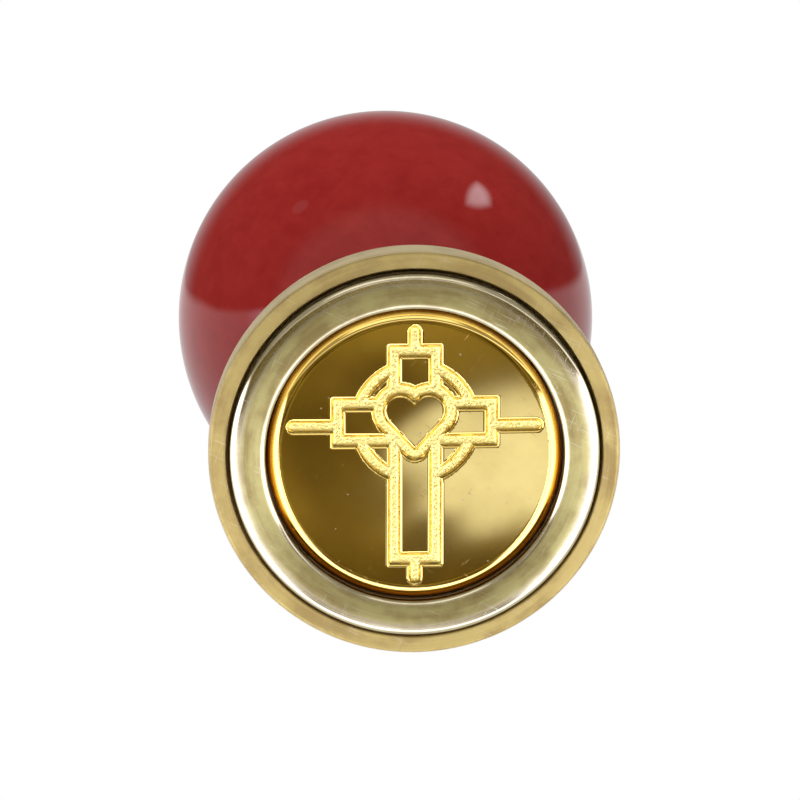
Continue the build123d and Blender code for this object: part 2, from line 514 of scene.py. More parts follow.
@dataclass(frozen=True)
class GoldPlate(Finish):
    """Mirror gold that turns grainy and frosted in the engraving."""

    polished: Colour = (0.86, 0.62, 0.17)
    hazed: Colour = (0.62, 0.42, 0.10)
    haze_scale: float = 350.0
    haze_edges: Point = (0.35, 0.65)
    haze_share: float = 0.3
    haze_roughness: float = 0.03
    roughness: float = 0.05
    frosted: Colour = (0.92, 0.75, 0.235)
    frost_least: float = 0.55
    frost_spread: float = 0.6
    frost_roughness: float = 0.28
    grain_scale: float = 7000.0
    grain_depth: float = 0.026
    grain_roughness: float = 0.1
    # Painted reflection: an orange tint on the rim's steep lean, fading out towards its top.
    rim_reflection_tint: Colour = (0.80, 0.42, 0.04)
    rim_reflection_band: Point = (8.58, 8.80)
    rim_reflection_from: Point = (-5.0, 1.0)
    scratches: tuple[Stroke, ...] = (
        Stroke(turn=40.0, length=1.3, width=0.022, rarity=0.82),
        Stroke(turn=-50.0, length=0.9, width=0.022, rarity=0.83),
    )
    scratch_edges: Point = (0.50, 0.64)
    scratch_roughness: float = 0.12
    scratch_depth: float = 0.001
    dust: Colour = (0.95, 0.9, 0.75)
    dust_scale: float = 1100.0
    dust_size: Point = (0.085, 0.045)
    dust_edges: Point = (0.35, 0.6)
    dust_share: float = 0.5
    dust_roughness: float = 0.25
    # Painted shade: the coin's outer wall and flange in the gap under the ring are dark brown and
    # less metallic.
    gap_shade: Colour = (0.16, 0.07, 0.012)
    wall_shade_radius: Point = (8.93, 8.98)
    wall_shade_height: Point = (0.95, 1.1)
    wall_shade_dulling: float = 0.8

    def surface(self, board: NodeBoard) -> Wire:
        """Wire the gold: a polished face with faint scratches and dust, frosted grooves, a painted
        orange reflection on the rim, and painted shade on the wall in the gap.

        Args:
            board: The material's board.

        Returns:
            The shader.
        """
        point = board.point()
        _, up, height, radius = board.turned(point)
        frost = board.add("ShaderNodeAttribute", {"attribute_name": "frost"}, output="Fac")
        grain = board.noise(point, self.grain_scale, detail=1.0, rough=0.6)
        haze = board.noise(point, self.haze_scale, detail=3.0)
        marks = board.scratches(point, self.scratches) * haze.band(self.scratch_edges)
        # Painted shade on the coin's wall inside the gap round the ring.
        gap_shade = radius.band(self.wall_shade_radius, MM) * height.band(self.wall_shade_height, MM)
        dust = board.cells(point, self.dust_scale).band(self.dust_size)
        dust = dust * haze.band(self.dust_edges) * self.dust_share
        tone = board.mix(haze.band(self.haze_edges) * self.haze_share, self.polished, self.hazed)
        # Painted reflection: the rim, except near its top, is tinted orange.
        rim = radius.band(self.rim_reflection_band, MM) * up.band(self.rim_reflection_from, MM)
        tone = board.mix(rim, tone, self.rim_reflection_tint)
        tone = board.mix(frost * (self.frost_least + grain * self.frost_spread), tone, self.frosted)
        tone = board.mix(gap_shade, board.mix(dust, tone, self.dust), self.gap_shade)
        wear = marks * self.scratch_roughness + dust * self.dust_roughness
        rough = self.roughness + haze * self.haze_roughness + wear
        rough = rough + frost * (self.frost_roughness + grain * self.grain_roughness)
        relief = frost * grain * self.grain_depth - marks * self.scratch_depth
        return board.principled(
            {
                "Base Color": tone,
                "Metallic": 1.0 - gap_shade * self.wall_shade_dulling - dust,
                "Roughness": rough,
                "Normal": board.bump(relief, MM),
            }
        )


@dataclass(frozen=True)
class ZincPlate(Finish):
    """Bright zinc with a cloudy skin."""

    bright: Colour = (0.62, 0.63, 0.64)
    dull: Colour = (0.42, 0.43, 0.44)
    cloud_scale: float = 900.0
    cloud_edges: Point = (0.35, 0.65)
    cloud_depth: float = 0.002
    roughness: float = 0.25
    roughness_spread: float = 0.2

    def surface(self, board: NodeBoard) -> Wire:
        """Wire the zinc: cloudy grey metal.

        Args:
            board: The material's board.

        Returns:
            The shader.
        """
        clouds = board.noise(board.point(), self.cloud_scale, detail=4.0, rough=0.6)
        clouds = clouds.band(self.cloud_edges)
        return board.principled(
            {
                "Base Color": board.mix(clouds, self.bright, self.dull),
                "Metallic": 1.0,
                "Roughness": self.roughness + clouds * self.roughness_spread,
                "Normal": board.bump(clouds, self.cloud_depth * MM),
            }
        )


@dataclass(frozen=True)
class Matte(Finish):
    """A matte sheet material with a fine grain, such as rubber or fibre."""

    low: Colour = (0.02, 0.02, 0.02)
    high: Colour = (0.05, 0.05, 0.05)
    grain: float = 4000.0
    grain_edges: Point = (0.3, 0.7)
    grain_depth: float = 0.02
    roughness: float = 0.75
    roughness_spread: float = 0.2

    def surface(self, board: NodeBoard) -> Wire:
        """Wire the sheet: grain in its colour, its gloss and its height.

        Args:
            board: The material's board.

        Returns:
            The shader.
        """
        fleck = board.noise(board.point(), self.grain, detail=4.0, rough=0.65)
        return board.principled(
            {
                "Base Color": board.mix(fleck.band(self.grain_edges), self.low, self.high),
                "Roughness": self.roughness + fleck * self.roughness_spread,
                "Normal": board.bump(fleck, self.grain_depth * MM),
            }
        )


@dataclass(frozen=True)
class FloorPaint(Finish):
    """A pale floor that fades out far away and can't be seen from underneath."""

    pale: Colour = (0.86, 0.86, 0.85)
    speck: Colour = (0.88, 0.88, 0.87)
    speck_scale: float = 60.0
    roughness: float = 0.8
    fade: Point = (0.35, 0.9)

    def surface(self, board: NodeBoard) -> Wire:
        """Wire the floor: matte paint, mixed with nothing where it fades.

        Args:
            board: The material's board.

        Returns:
            The shader.
        """
        point = board.point()
        reach = board.add("ShaderNodeVectorMath", {"operation": "LENGTH"}, {0: point}, "Value")
        under = board.add("ShaderNodeNewGeometry", output="Backfacing")
        tone = board.mix(board.noise(point, self.speck_scale, detail=3.0), self.pale, self.speck)
        paint = board.principled({"Base Color": tone, "Roughness": self.roughness})
        clear = board.add("ShaderNodeBsdfTransparent")
        gone = reach.band(self.fade).at_least(under)
        return board.add("ShaderNodeMixShader", None, {0: gone, 1: paint, 2: clear})


RED_GLAZE = RedGlaze(Slot.RED_GLAZE.value)
SATIN_BRASS = TurnedBrass(
    Slot.SATIN_BRASS.value,
    colour=(0.46, 0.358, 0.118),
    tarnish=(0.245, 0.163, 0.055),
    tarnish_share=0.65,
    roughness=0.48,
    anisotropy=0.3,
    scuffs=0.3,
    # Past 12.66 mm the cup's side band and rim rounding count as edges: pale and half metallic, a
    # painted sheen.
    face=(0.0, 12.66),
    worn_edge_and_sheen=(0.88, 0.71, 0.39),
    edge_roughness=0.42,
    edge_sheen_metal=0.5,
    # Painted shade on the cup's inner wall, in the gap round the ring.
    gap_shade_radius=11.69,
    gap_shade_from=0.62,
)
PALE_BRASS = TurnedBrass(
    Slot.PALE_BRASS.value,
    colour=(0.41, 0.362, 0.135),
    tarnish=(0.23, 0.17, 0.057),
    tarnish_share=0.85,
    roughness=0.4,
    anisotropy=0.75,
    scuffs=0.6,
    face=(9.50, 10.82),
    face_blend=(0.13, 0.32),
    # The ring's roundings are paler: polished wear and in part a painted sheen.
    worn_edge_and_sheen=(0.66, 0.59, 0.38),
    # Painted shade on every ring surface from 0.55 to 1.3 mm high, in the gaps.
    gap_shade_radius=20.0,
    gap_shade_from=0.55,
)
PLAIN_BRASS = TurnedBrass(Slot.PLAIN_BRASS.value)
GOLD_PLATE = GoldPlate(Slot.GOLD_PLATE.value)
ZINC_STEEL = ZincPlate(Slot.ZINC_STEEL.value)
SOFT_PAD = Matte(Slot.SOFT_PAD.value)
FIBRE = Matte(Slot.FIBRE.value, low=(0.22, 0.05, 0.03), high=(0.36, 0.10, 0.06), grain=2500.0)
FLOOR_PAINT = FloorPaint("floor")


@dataclass(frozen=True)
class Stop:
    """A point on a turned outline."""

    radius: float
    height: float
    rounding: float = 0.0
    curved: bool = False


@dataclass
class TurnedOutline:
    """The half section of a turned piece, as a lathe tool would follow it."""

    closed: bool = True
    arc_step: float = 6.0
    edge_support: float = 0.05
    arc_least: int = 2
    corner_least: int = 4
    stops: list[Stop] = field(default_factory=list)

    def corners(self, *places: Sequence[float]) -> "TurnedOutline":
        """Go straight from corner to corner: radius, height and, where it has one, rounding."""
        self.stops += [Stop(*place) for place in places]
        return self

    def arc(self, middle: Point, radius: float, start: float, sweep: float) -> "TurnedOutline":
        """Go along an arc.

        Args:
            middle: The arc's middle as radius and height.
            radius: The arc's own radius.
            start: The angle where it starts, in degrees from outwards towards up.
            sweep: How far it goes, in degrees, positive from outwards towards up.

        Returns:
            The outline, for the next stretch.
        """
        count = max(self.arc_least, math.ceil(abs(sweep) / self.arc_step))
        for number in range(count + 1):
            angle = math.radians(start + sweep * number / count)
            place = (middle[0] + radius * math.cos(angle), middle[1] + radius * math.sin(angle))
            self.stops.append(Stop(max(place[0], 0.0), place[1], curved=number < count))
        return self

    def _rounded(self, before: Stop, stop: Stop, after: Stop) -> list[Point]:
        """The points of the arc that rounds a corner.

        Args:
            before: The stop before the corner.
            stop: The corner itself.
            after: The stop after it.

        Returns:
            The points as radius and height.
        """
        place = Vector((stop.radius, stop.height))
        back = (Vector((before.radius, before.height)) - place).normalized()
        ahead = (Vector((after.radius, after.height)) - place).normalized()
        half = back.angle(ahead) / 2
        middle = place + (back + ahead).normalized() * (stop.rounding / math.sin(half))
        first = place + back * (stop.rounding / math.tan(half)) - middle
        last = place + ahead * (stop.rounding / math.tan(half)) - middle
        start = math.atan2(first.y, first.x)
        sweep = (math.atan2(last.y, last.x) - start + math.pi) % (2 * math.pi) - math.pi
        count = max(self.corner_least, math.ceil(math.degrees(abs(sweep)) / self.arc_step))
        return [
            (middle.x + stop.rounding * math.cos(angle), middle.y + stop.rounding * math.sin(angle))
            for angle in (start + sweep * number / count for number in range(count + 1))
        ]

    def points(self) -> list[Point]:
        """All points of the outline, with one more close to each end of a straight stretch.

        Returns:
            The points as radius and height.
        """
        run: list[tuple[Point, bool]] = []
        for number, stop in enumerate(self.stops):
            if stop.rounding == 0:
                run.append(((stop.radius, stop.height), stop.curved))
                continue
            after = self.stops[(number + 1) % len(self.stops)]
            bend = self._rounded(self.stops[number - 1], stop, after)
            run += [(point, True) for point in bend[:-1]] + [(bend[-1], False)]
        found: list[Point] = []
        for number, (point, curved) in enumerate(run):
            found.append(point)
            if curved or (number == len(run) - 1 and not self.closed):
                continue
            ahead = run[(number + 1) % len(run)][0]
            length = math.dist(point, ahead)
            if length > 4 * self.edge_support:
                for share in (self.edge_support / length, 1 - self.edge_support / length):
                    both = zip(point, ahead)
                    found.append(tuple(here + (there - here) * share for here, there in both))
        return found


class NodeTool:
    """A Geometry Nodes tree that turns a flat outline into a finished mesh."""

    def __init__(self, name: str, sizes: Mapping[str, str]) -> None:
        """Start a tree.

        Args:
            name: The tree's name.
            sizes: Its named inputs and their socket types.
        """
        self.group = bpy.data.node_groups.new(name, "GeometryNodeTree")
        self.board = NodeBoard(self.group)
        sockets = {"Geometry": "NodeSocketGeometry", **sizes, "Material": "NodeSocketMaterial"}
        interface = self.group.interface
        self.keys = {
            label: interface.new_socket(name=label, in_out="INPUT", socket_type=kind).identifier
            for label, kind in sockets.items()
        }
        interface.new_socket(name="Geometry", in_out="OUTPUT", socket_type="NodeSocketGeometry")
        self.inputs = self.board.add("NodeGroupInput")
        outline = {"Mesh": self.inputs.out("Geometry")}
        self.section = self.board.add("GeometryNodeMeshToCurve", None, outline)

    def close(self, mesh: Wire, sharp_angle: float) -> None:
        """End the tree: smooth faces with sharp corners, realized, with its material.

        Args:
            mesh: The mesh so far.
            sharp_angle: Edges that bend by more than this, in degrees, stay sharp.
        """
        add = self.board.add
        smooth = add("GeometryNodeSetShadeSmooth", None, {"Geometry": mesh, "Shade Smooth": True})
        bend = add("GeometryNodeInputMeshEdgeAngle")
        limit = math.radians(sharp_angle)
        sharp = add("FunctionNodeCompare", {"operation": "GREATER_THAN"}, {0: bend, 1: limit})
        sockets = {"Geometry": smooth, "Selection": sharp, "Shade Smooth": False}
        edged = add("GeometryNodeSetShadeSmooth", {"domain": "EDGE"}, sockets)
        real = add("GeometryNodeRealizeInstances", None, {"Geometry": edged})
        sockets = {"Geometry": real, "Material": self.inputs.out("Material")}
        add("NodeGroupOutput", None, {"Geometry": add("GeometryNodeSetMaterial", None, sockets)})

    def make(
        self,
        name: str,
        outline: Sequence[Point],
        closed: bool,
        finish: Finish,
        sizes: Mapping[str, float],
    ) -> bpy.types.Object:
        """Run the tree on an outline and keep the result as a plain mesh.

        Args:
            name: The piece's name.
            outline: The outline's points in metres.
            closed: Whether the outline closes on itself.
            finish: The finish that the tree sets.
            sizes: The values of the tree's named inputs.

        Returns:
            The piece, with no modifier left.
        """
        count = len(outline)
        flat = bpy.data.meshes.new(f"{name}_outline")
        edges = [(number, (number + 1) % count) for number in range(count if closed else count - 1)]
        flat.from_pydata([(across, along, 0.0) for across, along in outline], edges, [])
        host = stand(f"{name}_outline", flat)
        modifier = host.modifiers.new(self.group.name, "NODES")
        modifier.node_group = self.group
        for label, value in {**sizes, "Material": finish.material()}.items():
            modifier[self.keys[label]] = value
        depsgraph = bpy.context.evaluated_depsgraph_get()
        mesh = bpy.data.meshes.new_from_object(host.evaluated_get(depsgraph), depsgraph=depsgraph)
        host.modifiers.remove(modifier)
        bpy.data.objects.remove(host)
        bpy.data.meshes.remove(flat)
        mesh.name = name
        return place_mesh(name, mesh)


class Lathe(NodeTool):
    """Turns a half section about the axis."""

    PATH_RADIUS = 5 * MM
    WELD = 0.0005 * MM
    SHARP_ANGLE = 32.0

    def __init__(self) -> None:
        """Build the tree: the outline follows a circle, and its ends meet on the axis."""
        super().__init__("lathe", {"Segments": "NodeSocketInt", "Path Radius": "NodeSocketFloat"})
        add = self.board.add
        segments, radius = (self.inputs.out(label) for label in ("Segments", "Path Radius"))
        sockets = {"Resolution": segments, "Radius": radius}
        circle = add("GeometryNodeCurvePrimitiveCircle", None, sockets)
        sockets = {"Curve": circle, "Profile Curve": self.section}
        swept = add("GeometryNodeCurveToMesh", None, sockets)
        sockets = {"Geometry": swept, "Distance": self.WELD}
        self.close(add("GeometryNodeMergeByDistance", None, sockets), self.SHARP_ANGLE)

    def turn(
        self, name: str, outline: TurnedOutline, finish: Finish, segments: int
    ) -> bpy.types.Object:
        """Turn one piece.

        Args:
            name: The piece's name.
            outline: Its half section in millimetres.
            finish: Its finish.
            segments: How many flats the lathe leaves in a turn.

        Returns:
            The turned piece.
        """
        points = outline.points()
        flat = [(radius * MM - self.PATH_RADIUS, -height * MM) for radius, height in points]
        sizes = {"Segments": segments, "Path Radius": self.PATH_RADIUS}
        return self.make(name, flat, outline.closed, finish, sizes)


class ThreadCutter(NodeTool):
    """Winds a thread's ridge round the axis."""

    STEPS_PER_TURN = 120
    RUN_OUT = 0.12
    END_SHARE = 0.03
    SHARP_ANGLE = 28.0
    BITE = 0.04

    def __init__(self) -> None:
        """Build the tree: the ridge's section follows a helix and thins out at both ends."""
        sizes = ("Radius", "Start Height", "Rise", "Turns")
        super().__init__("thread", {label: "NodeSocketFloat" for label in sizes})
        add = self.board.add
        radius, start, rise, turns = (self.inputs.out(label) for label in sizes)
        sockets = {"Start Radius": radius, "End Radius": radius, "Height": rise, "Rotations": turns}
        sockets.update({"Resolution": self.STEPS_PER_TURN, "Reverse": True})
        helix = add("GeometryNodeCurveSpiral", None, sockets)
        lift = self.board.vector(0.0, 0.0, start)
        raised = add("GeometryNodeSetPosition", None, {"Geometry": helix, "Offset": lift})
        level = add("GeometryNodeSetCurveNormal", {"mode": "Z_UP"}, {"Curve": raised})
        along = add("GeometryNodeSplineParameter", output="Factor")
        ends = along.at_most(1.0 - along).step(0.0, self.RUN_OUT)
        thin = ends * (1 - self.END_SHARE) + self.END_SHARE
        sockets = {"Curve": level, "Profile Curve": self.section, "Scale": thin, "Fill Caps": True}
        self.close(add("GeometryNodeCurveToMesh", None, sockets), self.SHARP_ANGLE)

    def cut(self, name: str, thread: "Thread", finish: Finish) -> bpy.types.Object:
        """Wind one thread.

        Args:
            name: The piece's name.
            thread: The thread's sizes.
            finish: Its finish.

        Returns:
            The ridge as a piece.
        """
        root = thread.root_half
        half = [(-self.BITE, root), (0.0, root), (thread.depth, thread.crest_half)]
        turned = MM if thread.outside else -MM
        section = [(x * turned, y * turned) for x, y in half + [(x, -y) for x, y in half[::-1]]]
        sizes = {
            "Radius": thread.radius * MM,
            "Start Height": thread.start * MM,
            "Rise": thread.pitch * thread.turns * MM,
            "Turns": thread.turns,
        }
        return self.make(name, section, True, finish, sizes)


@dataclass(frozen=True)
class Thread:
    """The sizes of a thread's ridge on a wall of that radius."""

    radius: float
    start: float
    turns: float
    outside: bool
    pitch: float = 0.75
    depth: float = 0.38
    root_half: float = 0.27
    crest_half: float = 0.05


def stand(name: str, data: bpy.types.ID) -> bpy.types.Object:
    """Put an object into the scene, at the origin.

    Args:
        name: The object's name.
        data: Its mesh, lamp or camera.

    Returns:
        The new object.
    """
    made = bpy.data.objects.new(name, data)
    bpy.context.scene.collection.objects.link(made)
    return made


def place_mesh(name: str, mesh: bpy.types.Mesh) -> bpy.types.Object:
    """Make a mesh an object in the scene, with its faces outwards.

    Args:
        name: The piece's name.
        mesh: Its mesh, closed and in place.

    Returns:
        The new object.
    """
    work = bmesh.new()
    work.from_mesh(mesh)
    if work.calc_volume(signed=True) < 0:
        bmesh.ops.reverse_faces(work, faces=work.faces)
    work.to_mesh(mesh)
    work.free()
    return stand(name, mesh)


def fit(piece: bpy.types.Object, body: Body, slot: Slot, *nodes: str) -> None:
    """Tie a piece to its body, hide the nodes that it stands for, and report it.

    Args:
        piece: The finished piece.
        body: The body that it moves with.
        slot: Its material slot; not used.
        nodes: The nodes that it replaces.
    """
    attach(piece, body.value)
    if nodes:
        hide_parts(*nodes)
    LOG.info("%s: %d faces on %s", piece.name, len(piece.data.polygons), body.value)


def dress(node: str, finish: Finish) -> None:
    """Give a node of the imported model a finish, and report it.

    Args:
        node: The node's name.
        finish: Its finish.
    """
    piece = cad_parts[node]
    if not piece.material_slots:
        piece.data.materials.append(None)
    for slot in piece.material_slots:
        slot.material = finish.material()
    LOG.info("%s: dressed as %s", node, finish.name)


@dataclass
class Handle:
    """The glazed ball on its slender neck, with the insert and washer inside."""

    ball_radius: float = 15.0
    ball_height: float = 44.0
    foot_radius: float = 7.95
    waist_depth: float = 1.35
    throat_radius: float = 2.5
    neck_foot: float = 13.729
    foot_rounding: float = 0.4
    foot_reach: float = 1.5
    spigot_radius: float = 6.45
    spigot_end: float = 9.5
    spigot_chamfer: float = 0.3
    hole_radius: float = 4.3
    hole_top: float = 22.7
    arc_step: float = 2.5
    segments: int = 160

    def outline(self) -> TurnedOutline:
        """The knob's half section: blind hole, spigot, foot, neck, throat and ball.

        Returns:
            The outline, which starts and ends on the axis.
        """
        waist = self.foot_radius - self.waist_depth
        reach = waist + self.throat_radius
        drop = math.sqrt((self.ball_radius + self.throat_radius) ** 2 - reach ** 2)
        waist_height = self.ball_height - drop
        stem = waist_height - self.neck_foot
        neck_radius = (stem ** 2 + self.waist_depth ** 2) / (2 * self.waist_depth)
        neck_sweep = math.degrees(math.asin(stem / neck_radius))
        foot_sweep = math.degrees(self.foot_reach * self.foot_rounding / neck_radius)
        lean = math.degrees(math.atan2(drop, reach))
        neck_start = 180 + neck_sweep - foot_sweep
        shape = TurnedOutline(closed=False, arc_step=self.arc_step).corners(
            (0, self.hole_top),
            (self.hole_radius, self.hole_top),
            (self.hole_radius, self.spigot_end),
            (self.spigot_radius, self.spigot_end, self.spigot_chamfer),
            (self.spigot_radius, self.neck_foot),
            (self.foot_radius, self.neck_foot, self.foot_rounding),
        )
        neck = (waist + neck_radius, waist_height)
        shape.arc(neck, neck_radius, neck_start, foot_sweep - neck_sweep)
        shape.arc((reach, waist_height), self.throat_radius, 180, -lean)
        return shape.arc((0, self.ball_height), self.ball_radius, -lean, 90 + lean)

    def build(self, lathe: Lathe) -> None:
        """Turn the knob and dress what is inside it.

        Args:
            lathe: The lathe that turns it.
        """
        knob = lathe.turn("knob", self.outline(), RED_GLAZE, self.segments)
        fit(knob, Body.HANDLE, Slot.RED_GLAZE, "handle_knob")
        dress("threaded_insert", PLAIN_BRASS)
        dress("neck_washer", FIBRE)


@dataclass
class Head:
    """The brass ferrule with its cup, shoulder, bead and collar, and what its screw clamps."""

    cup_radius: float = 11.65
    cup_floor: float = 4.0
    rim_radius: float = 12.75
    rim_front: float = 0.6
    rim_fall: float = 0.08
    rim_rounding: float = 0.25
    rim_inner_rounding: float = 0.12
    band_top: float = 2.6
    shoulder_radius: float = 3.5
    collar_radius: float = 8.4
    bead_radius: float = 0.8
    collar_land: float = 0.5
    collar_height: float = 2.4
    collar_rounding: float = 0.5
    socket_radius: float = 6.6
    socket_floor: float = 9.0
    web_front: float = 7.5
    screw_hole_radius: float = 2.2
    recess_radius: float = 4.3
    edge: float = 0.06
    bead_sweep: float = 172.0
    segments: int = 192
    pad_radius: float = 9.8
    pad_front: float = 3.22
    pad_rounding: float = 0.2
    pad_segments: int = 96
    thread: Thread = Thread(radius=11.65, start=1.175, turns=3.4, outside=False, depth=0.33)

    def outline(self) -> TurnedOutline:
        """The ferrule's half section.

        Returns:
            The closed outline.
        """
        round_radius = self.shoulder_radius
        reach = self.collar_radius + round_radius - self.rim_radius + round_radius
        rise = math.sqrt((2 * round_radius) ** 2 - reach ** 2)
        angle = math.degrees(math.atan2(rise, reach))
        ogee_top = self.band_top + rise
        bead_middle = ogee_top + self.collar_land + self.bead_radius
        collar_top = bead_middle + self.bead_radius + self.collar_height
        turn = self.bead_sweep
        shape = TurnedOutline()
        shape.corners((self.rim_radius, self.rim_front + self.rim_fall, self.rim_rounding))
        shape.arc((self.rim_radius - round_radius, self.band_top), round_radius, 0, angle)
        shape.arc((self.collar_radius + round_radius, ogee_top), round_radius, 180 + angle, -angle)
        shape.corners((self.collar_radius, bead_middle - self.bead_radius, self.edge))
        shape.arc((self.collar_radius, bead_middle), self.bead_radius, -turn / 2, turn)
        return shape.corners(
            (self.collar_radius, bead_middle + self.bead_radius, self.edge),
            (self.collar_radius, collar_top, self.collar_rounding),
            (self.socket_radius, collar_top, self.edge),
            (self.socket_radius, self.socket_floor),
            (self.screw_hole_radius, self.socket_floor, self.edge),
            (self.screw_hole_radius, self.web_front, self.edge),
            (self.recess_radius, self.web_front),
            (self.recess_radius, self.cup_floor, self.edge),
            (self.cup_radius, self.cup_floor),
            (self.cup_radius, self.rim_front, self.rim_inner_rounding),
        )

    def pad_outline(self) -> TurnedOutline:
        """The soft disc's half section, with rounded edges.

        Returns:
            The outline, which starts and ends on the axis.
        """
        return TurnedOutline(closed=False).corners(
            (0, self.pad_front),
            (self.pad_radius, self.pad_front, self.pad_rounding),
            (self.pad_radius, self.cup_floor, self.pad_rounding),
            (0, self.cup_floor),
        )

    def build(self, lathe: Lathe, cutter: ThreadCutter) -> None:
        """Turn the ferrule and the pad, cut the cup's thread and dress the screw and its washer.

        Args:
            lathe: The lathe that turns them.
            cutter: The cutter of the thread.
        """
        shell = lathe.turn("ferrule_shell", self.outline(), SATIN_BRASS, self.segments)
        fit(shell, Body.HANDLE, Slot.SATIN_BRASS, "ferrule")
        fit(cutter.cut("cup_thread", self.thread, SATIN_BRASS), Body.HANDLE, Slot.SATIN_BRASS)
        disc = lathe.turn("pad_disc", self.pad_outline(), SOFT_PAD, self.pad_segments)
        fit(disc, Body.HANDLE, Slot.SOFT_PAD, "coin_pad")
        dress("fixing_screw", ZINC_STEEL)
        dress("spring_washer", ZINC_STEEL)


@dataclass
class ClampRing:
    """The pale ring over the coin's flange, with its threaded skirt."""

    hole_radius: float = 9.26
    face_radius: float = 11.42
    inner_bends: tuple[Point, ...] = ((0.08, 90.0), (0.6, 40.0))
    outer_bends: tuple[Point, ...] = ((0.08, 90.0), (0.7, 38.0))
    inner_crown: float = 6.0
    outer_crown: float = 11.0
    front_land: float = 1.3
    lip_back: float = 1.58
    skirt_radius: float = 10.05
    end: float = 3.8
    edge: float = 0.06
    end_rounding: float = 0.12
    arc_step: float = 3.0
    segments: int = 256
    thread: Thread = Thread(radius=11.25, start=1.55, turns=2.6, outside=True, depth=0.34)

    def _bends(self, bends: Sequence[Point], crown: float) -> list[Triple]:
        """The arcs of one edge from its wall to the crown, each a radius and two tilts."""
        tilts = [math.radians(tilt) for _, tilt in bends] + [math.radians(crown)]
        return [(radius, *tilts[number:number + 2]) for number, (radius, _) in enumerate(bends)]

    def _front(self, shape: TurnedOutline) -> None:
        """Follow the ring's front from the hole outwards, one arc into the next.

        Args:
            shape: The outline that the arcs are added to.
        """
        inner_arcs = self._bends(self.inner_bends, self.inner_crown)
        outer_arcs = self._bends(self.outer_bends, self.outer_crown)
        inner, outer = math.radians(self.inner_crown), math.radians(self.outer_crown)
        edges = inner_arcs + outer_arcs
        taken = sum(radius * (math.sin(start) - math.sin(end)) for radius, start, end in edges)
        crown = (self.face_radius - self.hole_radius - taken) / (math.sin(inner) + math.sin(outer))
        across = self.hole_radius
        along = sum(radius * (math.cos(end) - math.cos(start)) for radius, start, end in inner_arcs)
        along += crown * (1 - math.cos(inner))
        run = inner_arcs + [(crown, inner, -outer)]
        run += [(radius, -end, -start) for radius, start, end in outer_arcs[::-1]]
        for radius, start, end in run:
            middle = (across + radius * math.sin(start), along + radius * math.cos(start))
            shape.arc(middle, radius, -90 - math.degrees(start), math.degrees(start - end))
            across = middle[0] - radius * math.sin(end)
            along = middle[1] - radius * math.cos(end)

    def outline(self) -> TurnedOutline:
        """The ring's half section.

        Returns:
            The closed outline.
        """
        shape = TurnedOutline(arc_step=self.arc_step)
        self._front(shape)
        return shape.corners(
            (self.face_radius, self.front_land, self.edge),
            (self.thread.radius, self.front_land),
            (self.thread.radius, self.end, self.end_rounding),
            (self.skirt_radius, self.end, self.edge),
            (self.skirt_radius, self.lip_back),
            (self.hole_radius, self.lip_back, self.edge),
        )

    def build(self, lathe: Lathe, cutter: ThreadCutter) -> None:
        """Turn the ring and cut its thread.

        Args:
            lathe: The lathe that turns it.
            cutter: The cutter of the thread.
        """
        ring = lathe.turn("clamp_ring", self.outline(), PALE_BRASS, self.segments)
        fit(ring, Body.RING, Slot.PALE_BRASS, "retaining_ring")
        fit(cutter.cut("ring_thread", self.thread, PALE_BRASS), Body.RING, Slot.PALE_BRASS)


